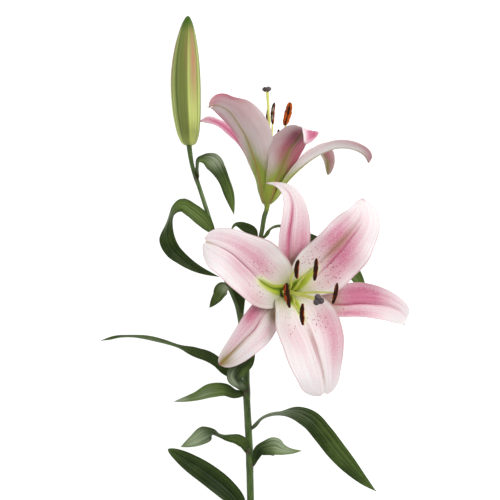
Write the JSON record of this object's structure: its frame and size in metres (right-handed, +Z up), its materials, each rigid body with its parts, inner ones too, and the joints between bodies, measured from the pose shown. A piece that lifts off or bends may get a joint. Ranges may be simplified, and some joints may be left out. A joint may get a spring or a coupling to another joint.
{
  "type": "cut lily",
  "caption": "Cut lily stem lying on its back, with open trumpet flowers, a closed bud and narrow arching leaves.",
  "frame": {"origin": "on the surface the flower lies on, below the middle of its bounding box, close to where the flower stalks leave the stem", "axes": "+Y from the cut end of the stem towards the bud, +Z up from the surface it lies on, +X to the right of the stem seen from above"},
  "size_m": [0.2811, 0.5309, 0.1424],
  "materials": {
    "stem": "satin",
    "leaf": "satin",
    "bud": "satin",
    "petal": "matte",
    "sepal": "matte",
    "filament": "satin",
    "anther": "matte",
    "pistil": "satin"
  },
  "bodies": {
    "root": {"stem": "stem", "bud": "bud", "leaf_1": "leaf", "leaf_2": "leaf", "leaf_3": "leaf", "leaf_4": "leaf", "leaf_5": "leaf", "leaf_6": "leaf", "leaf_7": "leaf", "leaf_8": "leaf", "leaf_9": "leaf", "leaf_10": "leaf", "leaf_11": "leaf", "leaf_12": "leaf", "leaf_13": "leaf", "front_petal_1": "petal", "front_petal_2": "petal", "front_petal_3": "petal", "front_sepal_1": "sepal", "front_sepal_2": "sepal", "front_sepal_3": "sepal", "front_filament_1": "filament", "front_anther_1": "anther", "front_filament_2": "filament", "front_anther_2": "anther", "front_filament_3": "filament", "front_anther_3": "anther", "front_filament_4": "filament", "front_anther_4": "anther", "front_filament_5": "filament", "front_anther_5": "anther", "front_filament_6": "filament", "front_anther_6": "anther", "front_pistil": "pistil", "back_petal_1": "petal", "back_petal_2": "petal", "back_petal_3": "petal", "back_sepal_1": "sepal", "back_sepal_2": "sepal", "back_sepal_3": "sepal", "back_filament_1": "filament", "back_anther_1": "anther", "back_filament_2": "filament", "back_anther_2": "anther", "back_filament_3": "filament", "back_anther_3": "anther", "back_filament_4": "filament", "back_anther_4": "anther", "back_filament_5": "filament", "back_anther_5": "anther", "back_filament_6": "filament", "back_anther_6": "anther", "back_pistil": "pistil"}
  },
  "joints": []
}
